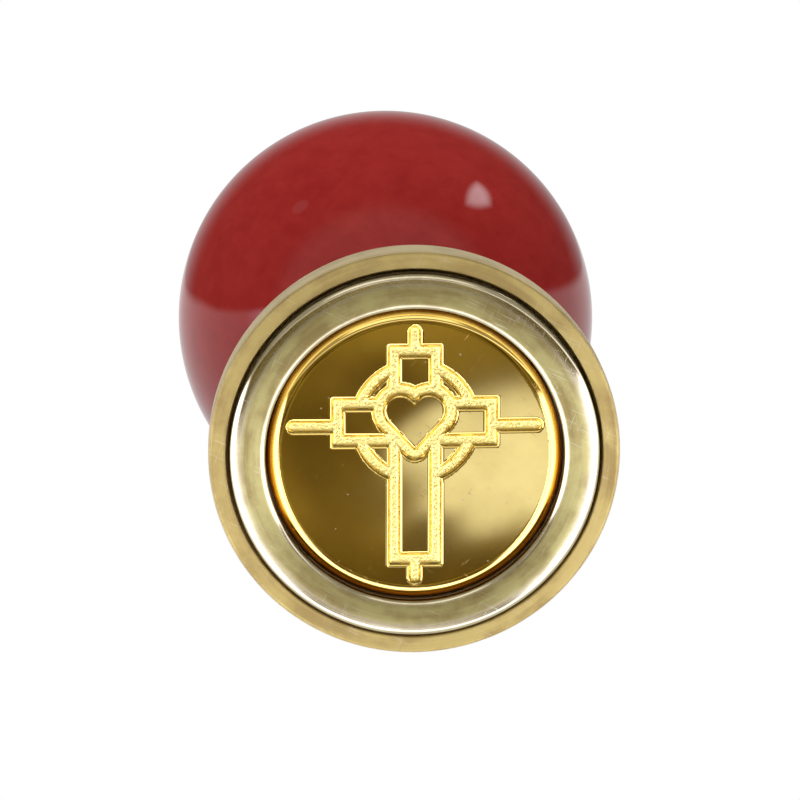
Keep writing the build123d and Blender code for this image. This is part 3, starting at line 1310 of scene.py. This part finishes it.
@dataclass
class Motif:
    """The engraved ringed cross with a heart, as seen by someone facing the die."""

    groove: float = 0.88
    upright_half: float = 1.72
    upright_top: float = 7.0
    upright_bottom: float = -7.05
    arms_half: float = 5.2
    arms_low: float = 0.5
    arms_high: float = 3.7
    halo_radius: float = 4.0
    heart_half: float = 1.8
    heart_top: float = 3.73
    heart_notch: float = 3.1
    heart_tip: float = 0.5
    pin_length: float = 1.2
    spike_length: float = 2.75
    spike_drop: float = 0.25
    heart_steps: int = 40

    def _box(self, x: Places, y: Places, half: float, low: float, high: float) -> np.ndarray:
        """Distance to an upright rectangle about the middle line, negative inside.

        Args:
            x: Places across the motif.
            y: Places up the motif.
            half: Half of the rectangle's width.
            low: Its lower side.
            high: Its upper side.

        Returns:
            The distance at each place.
        """
        dx = np.abs(x) - half
        dy = np.abs(y - (low + high) / 2) - (high - low) / 2
        outside = np.hypot(np.maximum(dx, 0), np.maximum(dy, 0))
        return outside + np.minimum(np.maximum(dx, dy), 0)

    def _heart(self, x: Places, y: Places) -> np.ndarray:
        """Distance to the heart's window, two round lobes and straight sides, negative inside.

        Args:
            x: Places across the motif.
            y: Places up the motif.

        Returns:
            The distance at each place.
        """
        dip = self.heart_top - self.heart_notch
        lobe = self.heart_half + dip - math.sqrt(2 * self.heart_half * dip)
        mx, my = self.heart_half - lobe, self.heart_top - lobe
        rise = my - self.heart_tip
        start = math.atan2(rise, mx) - math.asin(lobe / math.hypot(mx, rise)) - math.pi / 2
        end = math.atan2(self.heart_notch - my, -mx)
        steps = self.heart_steps
        turn = [start + (end - start) * number / steps for number in range(steps + 1)]
        bow = [(mx + lobe * math.cos(angle), my + lobe * math.sin(angle)) for angle in turn]
        right = [(0.0, self.heart_tip)] + bow
        ring = np.array(right + [(-px, py) for px, py in reversed(right[1:-1])])
        best = np.full(x.shape, np.inf)
        inside = np.zeros(x.shape, bool)
        for (ax, ay), (bx, by) in zip(ring, np.roll(ring, -1, axis=0)):
            ex, ey = bx - ax, by - ay
            along = np.clip(((x - ax) * ex + (y - ay) * ey) / (ex * ex + ey * ey), 0, 1)
            best = np.minimum(best, np.hypot(x - ax - along * ex, y - ay - along * ey))
            crossing = (ay > y) != (by > y)
            inside ^= crossing & (x < ax + (y - ay) * ex / (ey if ey else TINY))
        return np.where(inside, -best, best)

    def distance(self, x: Places, y: Places) -> np.ndarray:
        """Distance to the edge of the grooves, negative inside a groove.

        Args:
            x: Places across the motif.
            y: Places up the motif.

        Returns:
            The distance at each place, in millimetres.
        """
        half, groove = self.groove / 2, self.groove
        middle = (self.arms_low + self.arms_high) / 2
        heart = self._heart(x, y)
        rim = heart - groove
        halo = np.abs(np.hypot(x, y - middle) - self.halo_radius + half) - half
        foot = self.upright_bottom - self.pin_length + half
        head = self.upright_top + self.pin_length - half
        pin = np.hypot(x, y - np.clip(y, foot, head)) - half
        reach = self.arms_half + self.spike_length - half
        spike = np.hypot(x - np.clip(x, -reach, reach), y - middle + self.spike_drop) - half
        sizes = (
            (self.upright_half, self.upright_bottom, self.upright_top),
            (self.arms_half, self.arms_low, self.arms_high),
        )
        bars = [self._box(x, y, *size) for size in sizes]
        panes = [(side - groove, low + groove, high - groove) for side, low, high in sizes]
        windows = np.minimum(*(self._box(x, y, *pane) for pane in panes))
        shape = np.minimum.reduce([*bars, halo, rim, pin, spike])
        return np.maximum.reduce([shape, -np.maximum(windows, -rim), -heart])


def slopes(height: HeightMap, x: Places, y: Places, small: float) -> tuple[np.ndarray, np.ndarray]:
    """The slopes of a height across and up, read that small way to either side."""
    across = (height(x + small, y) - height(x - small, y)) / (2 * small)
    return across, (height(x, y + small) - height(x, y - small)) / (2 * small)


@dataclass
class Die:
    """The gold coin: a crowned mirror face with the motif, a rounded rim and a flange."""

    motif: Motif = field(default_factory=Motif)
    face_height: float = 0.45
    radius: float = 9.12
    rim_width: float = 0.82
    rim_lean: float = 62.0
    rim_step: float = 4.0
    flange_front: float = 1.6
    flange_radius: float = 10.0
    flange_rounding: float = 0.08
    flange_step: float = 15.0
    back: float = 3.2
    back_hub: float = 0.5
    grid_radius: float = 8.4
    cell: float = 0.07
    snap_share: float = 0.48
    least_slope: float = 0.3
    groove_depth: float = 0.24
    groove_wall: float = 0.30
    groove_lip: float = 0.02
    frost_from: float = 0.35
    frost_over: float = 0.5
    grain: float = 0.012
    grain_limit: float = 0.05
    crown: float = 0.10
    waves: float = 0.005
    wave_across: Point = (0.9, 0.5)
    wave_up: Point = (0.8, -0.4)
    wave_slant: Triple = (0.55, -1.1, 1.0)
    wave_slant_share: float = 0.6
    seed: int = 11

    @property
    def flat(self) -> float:
        """The radius where the face ends and the rim starts to lean back."""
        return self.radius - self.rim_width

    @property
    def bend(self) -> float:
        """The radius of the rim's own arc."""
        return self.rim_width / math.sin(math.radians(self.rim_lean))

    @property
    def small(self) -> float:
        """How far to either side a slope is read."""
        return self.cell / 20

    def _snapped(self, x: Places, y: Places, level: float) -> tuple[np.ndarray, np.ndarray]:
        """Pull places that lie close to one of the motif's level lines onto it.

        Args:
            x: Places across the motif.
            y: Places up the motif.
            level: The distance to the groove's edge that marks the line.

        Returns:
            The places, some of them moved.
        """
        gap = self.motif.distance(x, y) - level
        slope_x, slope_y = slopes(self.motif.distance, x, y, self.small)
        size = np.maximum(slope_x ** 2 + slope_y ** 2, self.least_slope)
        near = np.abs(gap) < self.snap_share * self.cell
        return x - near * gap * slope_x / size, y - near * gap * slope_y / size

    def _groove_share(self, x: Places, y: Places) -> np.ndarray:
        """How far down a groove's wall each place lies, from 0 on the land to 1 on the floor."""
        return np.clip((self.groove_lip - self.motif.distance(x, y)) / self.groove_wall, 0, 1)

    def _ripple(self, x: Places, y: Places) -> np.ndarray:
        """The slow waves that polishing leaves, before they are scaled.

        Args:
            x: Places across the motif.
            y: Places up the motif.

        Returns:
            The waves' height at each place.
        """
        (across, start), (up, begin) = self.wave_across, self.wave_up
        slant_across, slant_up, slant_start = self.wave_slant
        slant = np.sin(slant_across * x + slant_up * y + slant_start)
        return np.sin(across * x + start) * np.cos(up * y + begin) + self.wave_slant_share * slant

    def _height(self, x: Places, y: Places) -> np.ndarray:
        """The face's height without its grain.

        Args:
            x: Places across the motif.
            y: Places up the motif.

        Returns:
            The height in millimetres.
        """
        share = self._groove_share(x, y)
        out = np.hypot(x, y)
        round_out = 1 - np.clip(out / self.flat, 0, 1) ** 2
        past = np.clip(out - self.flat, 0, self.rim_width)
        lean = self.bend - np.sqrt(self.bend ** 2 - past ** 2)
        crowned = self.face_height - self.crown * round_out
        height = crowned + self.waves * self._ripple(x, y) * round_out + lean
        return height + self.groove_depth * share * share * (3 - 2 * share)

    def _normals(self, x: Places, y: Places) -> np.ndarray:
        """The face's own normals, from the slope of its height.

        Args:
            x: Places across the motif.
            y: Places up the motif.

        Returns:
            One normal a row, in the part's frame, pointing out of the face.
        """
        slope_x, slope_y = slopes(self._height, x, y, self.small)
        normals = np.stack([slope_x, -slope_y, -np.ones(x.shape)], axis=1)
        return normals / np.linalg.norm(normals, axis=1)[:, None]

    def _rim(self) -> list[Point]:
        """The half section from the grid's edge round the rim and the flange to the back.

        Returns:
            The points as radius and height.
        """
        lip = TurnedOutline(closed=False, arc_step=self.rim_step)
        start = math.degrees(math.asin((self.grid_radius - self.flat) / self.bend))
        middle = (self.flat, self.face_height + self.bend)
        lip.arc(middle, self.bend, start - 90, self.rim_lean - start)
        bend = lip.points()
        flange = TurnedOutline(closed=False, arc_step=self.flange_step).corners(
            bend[-1],
            (self.radius, self.flange_front),
            (self.flange_radius, self.flange_front, self.flange_rounding),
            (self.flange_radius, self.back, self.flange_rounding),
            (self.back_hub, self.back),
        )
        return bend[1:] + flange.points()[1:]

    def _grid(self) -> tuple[np.ndarray, np.ndarray, np.ndarray, np.ndarray]:
        """Lay a fine square grid over the face, cut round and snapped to the edges of the grooves.

        Returns:
            The places across and up, the corners of each cell, and how many cells use a place.
        """
        count = int(math.ceil(self.grid_radius / self.cell))
        line = np.arange(-count, count + 1) * self.cell
        x, y = (axis.ravel() for axis in np.meshgrid(line, line))
        side = len(line)
        inside = np.hypot(x, y) <= self.grid_radius - self.cell / 4
        first = (np.arange(side - 1)[:, None] * side + np.arange(side - 1)[None, :]).ravel()
        cells = np.stack([first, first + 1, first + side + 1, first + side], axis=1)
        cells = cells[inside[cells].all(axis=1)]
        uses = np.bincount(cells.ravel(), minlength=len(x))
        border = self._border(uses)
        for level in (self.groove_lip, self.groove_lip - self.groove_wall):
            moved = self._snapped(x, y, level)
            x, y = np.where(border, x, moved[0]), np.where(border, y, moved[1])
        out = np.where(border, self.grid_radius / np.maximum(np.hypot(x, y), self.small), 1.0)
        return x * out, y * out, cells, uses

    def _border(self, uses: np.ndarray) -> np.ndarray:
        """Which places lie on the grid's edge: those that one to three cells use."""
        return (uses > 0) & (uses < 4)

    def _halves(self, cells: np.ndarray, height: np.ndarray) -> np.ndarray:
        """Cut each cell in two along its flatter diagonal.

        Args:
            cells: The four corners of each cell.
            height: The height of each place.

        Returns:
            One triangle a row, the two of a cell together.
        """
        a, b, c, d = height[cells].T
        flat = (np.abs(a - c) <= np.abs(b - d))[:, None]
        first = np.where(flat, cells[:, [0, 1, 2]], cells[:, [0, 1, 3]])
        second = np.where(flat, cells[:, [0, 2, 3]], cells[:, [1, 2, 3]])
        return np.stack([first, second], axis=1).reshape(-1, 3)

    def _wrap(
        self, points: list[Triple], faces: list[Sequence[int]], ring: list[int], angles: Places
    ) -> None:
        """Close the face from behind: ring after ring round the rim and the flange, then a fan.

        Args:
            points: The face's points in metres, which the rings are added to.
            faces: Its faces, which the new ones are added to.
            ring: The points on its edge, in their order round the axis.
            angles: Their angles about the axis.
        """
        for radius, level in self._rim():
            ahead = list(range(len(points), len(points) + len(ring)))
            turned = [(radius * math.cos(angle), radius * math.sin(angle)) for angle in angles]
            points += [(px * MM, -py * MM, level * MM) for px, py in turned]
            pairs = list(zip(ring, ahead))
            faces += [(a, c, d, b) for (a, b), (c, d) in zip(pairs, pairs[1:] + pairs[:1])]
            ring = ahead
        faces += [(a, b, len(points)) for a, b in zip(ring, ring[1:] + ring[:1])]
        points.append((0.0, 0.0, self.back * MM))

    def _polish(self, mesh: bpy.types.Mesh, x: Places, y: Places, frost: np.ndarray) -> None:
        """Mark the frosted places, and give the polished ones the face's exact normals.

        Args:
            mesh: The coin, whose first points are the face's.
            x: The face's places across the motif.
            y: Its places up the motif.
            frost: How frosted each place is.
        """
        value = mesh.attributes.new("frost", "FLOAT", "POINT")
        value.data.foreach_set("value", np.pad(frost, (0, len(mesh.vertices) - len(frost))))
        mesh.update()
        normals = np.array([corner.vector for corner in mesh.vertex_normals])
        face = normals[:len(frost)]
        face += (self._normals(x, y) - face) * (1 - frost[:, None])
        mesh.normals_split_custom_set_from_vertices(normals.tolist())

    def _mesh(self) -> bpy.types.Mesh:
        """Build the coin: the fine grid of the face, and a turned rim and back that close it.

        Returns:
            The closed mesh, with a frost attribute.
        """
        draw = np.random.default_rng(self.seed)
        x, y, cells, uses = self._grid()
        frost = np.clip((self._groove_share(x, y) - self.frost_from) / self.frost_over, 0, 1)
        grain = np.clip(draw.normal(0.0, self.grain, x.shape), -self.grain_limit, self.grain_limit)
        height = self._height(x, y) + grain * frost
        kept = np.flatnonzero(uses)
        new = np.full(len(x), -1)
        new[kept] = np.arange(len(kept))
        faces = new[self._halves(cells, height)].tolist()
        spots = zip(x[kept], y[kept], height[kept])
        points = [(px * MM, -py * MM, pz * MM) for px, py, pz in spots]
        edge = np.flatnonzero(self._border(uses))
        edge = edge[np.argsort(np.arctan2(y[edge], x[edge]))]
        self._wrap(points, faces, new[edge].tolist(), np.arctan2(y[edge], x[edge]))
        mesh = bpy.data.meshes.new("coin")
        mesh.from_pydata(points, [], faces)
        mesh.polygons.foreach_set("use_smooth", [True] * len(faces))
        mesh.materials.append(GOLD_PLATE.material())
        self._polish(mesh, x[kept], y[kept], frost[kept])
        return mesh

    def build(self) -> None:
        """Engrave the coin and fit it."""
        fit(place_mesh("engraved_coin", self._mesh()), Body.COIN, Slot.GOLD_PLATE, "die_coin")


@dataclass
class Room:
    """What shiny pieces mirror, as directions from the die, and the even light on the rest."""

    right: Vector
    up: Vector
    forward: Vector
    die_mirror: Point = (0.0886, -0.4166)
    table_edge: Point = (0.146, 0.086)
    table_tilt: float = 0.045
    table_corner: float = -0.85
    table_fall: float = 0.2
    backdrop_edge: Point = (0.65, 1.05)
    backdrop_share: float = 0.72
    white_edge: Point = (-0.1, -0.55)
    white_far: Colour = (0.82, 0.82, 0.82)
    white_near: Colour = (3.6, 3.6, 4.6)
    near_edge: Point = (-0.35, -0.6)
    dark_far: Colour = (0.05, 0.045, 0.04)
    dark_near: Colour = (0.42, 0.40, 0.36)
    curtain_flare: Point = (1.4, 0.33)
    curtain_right: Point = (0.26, 0.19)
    curtain_lean: float = 1.1
    curtain_left: Point = (-0.32, -0.22)
    curtain_fold: Point = (-0.22, -0.14)
    curtain_depth: Point = (-0.25, -0.5)
    curtain_foot: Point = (-0.82, -0.72)
    curtain_head: Point = (0.2, 0.0)
    curtain_dark: Colour = (0.105, 0.074, 0.022)
    curtain_pale: Colour = (0.35, 0.28, 0.105)
    cloth_scale: float = 9.0
    cloth_edges: Point = (0.35, 0.65)
    card_left: Point = (-0.02, 0.024)
    card_right: Point = (0.2, 0.13)
    card_foot: Point = (-0.063, -0.049)
    card_foot_tilt: float = 0.06
    card_head: Point = (0.014, -0.006)
    card_head_tilt: float = 0.25
    card: Colour = (1.12, 1.24, 1.8)
    patch_foot: Point = (0.26, 0.34)
    patch_head: Point = (0.58, 0.50)
    patch_side: Point = (0.42, 0.28)
    patch: Colour = (1.6, 1.6, 1.7)
    lamp_aim: Triple = (0.611, 0.806, 0.049)
    lamp_half: Point = (0.104, 0.203)
    lamp_turn: Point = (0.797, 0.604)
    lamp_front: Point = (0.5, 0.6)
    lamp_wedge: Triple = (-1.25, 0.91, 1.58)
    lamp_wedge_share: float = 0.45
    lamp_edge: Point = (1.2, 0.2)
    lamp: Colour = (4.2, 4.2, 4.3)
    glint_aim: Triple = (-0.604, 0.785, -0.139)
    glint_edge: Point = (0.9968, 0.9988)
    glint: Colour = (0.38, 0.38, 0.38)
    ambient: Triple = (0.66, 0.42, 0.15)

    def _aim(self, parts: Triple) -> Vector:
        """A direction from its parts across, up and away."""
        return (parts[0] * self.right + parts[1] * self.up + parts[2] * self.forward).normalized()

    def _curtain(self, across: Wire, rise: Wire, away: Wire) -> Wire:
        """The dark curtain in front of the die, wider towards its head and its foot.

        Args:
            across: How far a ray goes to the right.
            rise: How far it goes up.
            away: How far it goes away from the camera.

        Returns:
            1 where the curtain is seen and 0 elsewhere.
        """
        drop = rise - self.die_mirror[1]
        above, below = self.curtain_flare
        reach = drop.at_least(0.0) * above - drop.at_most(0.0) * below
        left = (across + drop * self.curtain_lean).band(self.curtain_left)
        left = left.at_least(across.band(self.curtain_fold))
        seen = (across - reach).band(self.curtain_right) * left * away.band(self.curtain_depth)
        return seen * rise.band(self.curtain_foot) * rise.band(self.curtain_head)

    def _card(self, across: Wire, rise: Wire) -> Wire:
        """The pale card that the right half of the die mirrors.

        Args:
            across: How far a ray goes to the right.
            rise: How far it goes up.

        Returns:
            1 where the card is seen and 0 elsewhere.
        """
        side, drop = across - self.die_mirror[0], rise - self.die_mirror[1]
        seen = side.band(self.card_left) * side.band(self.card_right)
        seen = seen * (drop - side * self.card_foot_tilt).band(self.card_foot)
        return seen * (drop - side * self.card_head_tilt).band(self.card_head)

    def _lamp(self, board: NodeBoard, way: Wire) -> Wire:
        """The small soft lamp that shows as the highlight on the ball.

        Args:
            board: The room's board.
            way: The way that a ray goes.

        Returns:
            1 where the lamp is seen and 0 elsewhere.
        """
        aim = self._aim(self.lamp_aim)
        side = aim.cross(self.forward).normalized()
        wide = board.dot(way, side) / self.lamp_half[0]
        high = board.dot(way, side.cross(aim)) / self.lamp_half[1]
        tall, flat = self.lamp_turn
        top, right = high * tall + wide * flat, high * flat - wide * tall
        below, above, beside = self.lamp_wedge
        wedge = (top * below).at_least(top * above + abs(right) * beside)
        share = self.lamp_wedge_share
        shape = (wedge * share + (top * top + right * right) * (1 - share)).band(self.lamp_edge)
        return board.dot(way, aim).band(self.lamp_front) * shape

    def _mirrored(self, board: NodeBoard, way: Wire, across: Wire, rise: Wire, away: Wire) -> Wire:
        """The mirrored room: a white table and backdrop, darkness above, and what stands there.

        Args:
            board: The room's board.
            way: The way that a ray goes.
            across: How far it goes to the right.
            rise: How far it goes up.
            away: How far it goes away from the camera.

        Returns:
            The colour that a glossy ray meets.
        """
        fall = (across - self.table_corner).at_most(0.0) * self.table_fall
        table = (rise - across * self.table_tilt - fall).band(self.table_edge)
        pale = table.at_least(away.band(self.backdrop_edge) * self.backdrop_share)
        near = away.band(self.near_edge)
        patch = rise.band(self.patch_foot) * rise.band(self.patch_head)
        patch = patch * abs(across).band(self.patch_side) * near
        cloth = board.noise(way, self.cloth_scale).band(self.cloth_edges)
        white = board.mix(away.band(self.white_edge), self.white_far, self.white_near)
        seen = board.mix(pale, board.mix(near, self.dark_far, self.dark_near), white)
        curtain = board.mix(cloth, self.curtain_dark, self.curtain_pale)
        layers = (
            (self._curtain(across, rise, away), curtain),
            (self._card(across, rise), self.card),
            (patch, self.patch),
            (self._lamp(board, way), self.lamp),
            (board.dot(way, self._aim(self.glint_aim)).band(self.glint_edge), self.glint),
        )
        for share, colour in layers:
            seen = board.mix(share, seen, colour)
        return seen

    def build(self) -> bpy.types.World:
        """Wire the room: what is mirrored, the even light, and white behind the object.

        Returns:
            The world.
        """
        room = bpy.data.worlds.new("studio")
        room.use_nodes = True
        room.cycles.sampling_method = "NONE"
        board = NodeBoard(room.node_tree)
        way = board.add("ShaderNodeTexCoord", output="Generated")
        across, rise, away = (board.dot(way, axis) for axis in (self.right, self.up, self.forward))
        even, from_above, from_left = self.ambient
        soft = even + rise * from_above - across * from_left
        grey = dict.fromkeys(("Red", "Green", "Blue"), soft)
        light = board.add("ShaderNodeCombineColor", None, grey)
        rays = board.add("ShaderNodeLightPath")
        mirrored = self._mirrored(board, way, across, rise, away)
        seen = board.mix(rays.out("Is Glossy Ray"), light, mirrored)
        plain = rays.out("Is Camera Ray").at_least(rays.out("Is Transmission Ray"))
        seen = board.mix(plain, seen, (1.0, 1.0, 1.0))
        shown = board.add("ShaderNodeBackground", None, {"Color": seen, "Strength": 1.0})
        board.add("ShaderNodeOutputWorld", None, {"Surface": shown})
        return room


@dataclass
class Studio:
    """The floor, the light and the camera, set from the photograph's own view of the die."""

    right: Vector = field(default_factory=lambda: Vector((1.0, 0.0, -0.04542)).normalized())
    up: Vector = field(default_factory=lambda: Vector((0.0098, -0.97643, 0.21562)).normalized())
    distance: float = 240.0
    focal_pixels: float = 3896.0
    die_pixel: Point = (415.3, 457.0)
    sensor: float = 36.0
    clip_start: float = 0.01
    floor_size: float = 2.0
    floor_gap: float = 0.2
    lamp_size: Point = (0.5, 0.35)
    lamp_energy: float = 1.1
    lamp_place: Triple = (-0.12, -0.15, 0.6)
    lamp_target: Triple = (0.0, 0.0, 0.03)

    @property
    def forward(self) -> Vector:
        """The way that the camera looks."""
        return self.up.cross(self.right)

    def camera(self) -> None:
        """Set up the camera at the photograph's angle."""
        lens = bpy.data.cameras.new("photo_camera")
        lens.sensor_width = self.sensor
        lens.lens = self.focal_pixels * self.sensor / IMAGE_PIXELS
        lens.clip_start = self.clip_start
        scale = self.distance / self.focal_pixels
        across, down = ((pixel - IMAGE_PIXELS / 2) * scale for pixel in self.die_pixel)
        place = (-self.distance * self.forward - across * self.right + down * self.up) * MM
        camera = stand("photo_camera", lens)
        turn = Matrix((self.right, self.up, -self.forward)).transposed().to_4x4()
        camera.matrix_world = Matrix.Translation(place) @ turn
        bpy.context.scene.camera = camera

    def floor(self) -> None:
        """Lay the floor under the ring."""
        half, level = self.floor_size / 2, -self.floor_gap * MM
        corners = [(x * half, y * half, level) for x, y in ((-1, -1), (1, -1), (1, 1), (-1, 1))]
        mesh = bpy.data.meshes.new("floor")
        mesh.from_pydata(corners, [], [(0, 1, 2, 3)])
        mesh.materials.append(FLOOR_PAINT.material())
        floor = stand("floor", mesh)
        for ray in ("diffuse", "glossy", "transmission", "shadow"):
            setattr(floor, f"visible_{ray}", False)

    def lamps(self) -> None:
        """Hang a large soft lamp overhead, which shapes the ball and shades the floor."""
        light = bpy.data.lights.new("overhead", "AREA")
        light.shape = "RECTANGLE"
        light.size, light.size_y = self.lamp_size
        light.energy = self.lamp_energy
        lamp = stand("overhead", light)
        lamp.location = self.lamp_place
        aim = Vector(self.lamp_target) - lamp.location
        lamp.rotation_euler = aim.to_track_quat("-Z", "Y").to_euler()
        lamp.visible_glossy = False

    def build(self) -> None:
        """Set up the whole studio."""
        self.camera()
        self.floor()
        bpy.context.scene.world = Room(self.right, self.up, self.forward).build()
        self.lamps()
        bpy.context.scene.view_settings.view_transform = "Standard"
        LOG.info("studio: camera, floor, room and lamp")


def main() -> None:
    """Build the stamp piece by piece, then the studio."""
    logging.basicConfig(level=logging.INFO, format="%(name)s %(message)s")
    lathe = Lathe()
    cutter = ThreadCutter()
    Handle().build(lathe)
    Head().build(lathe, cutter)
    ClampRing().build(lathe, cutter)
    Die().build()
    Studio().build()


if __name__ == "__main__":
    main()
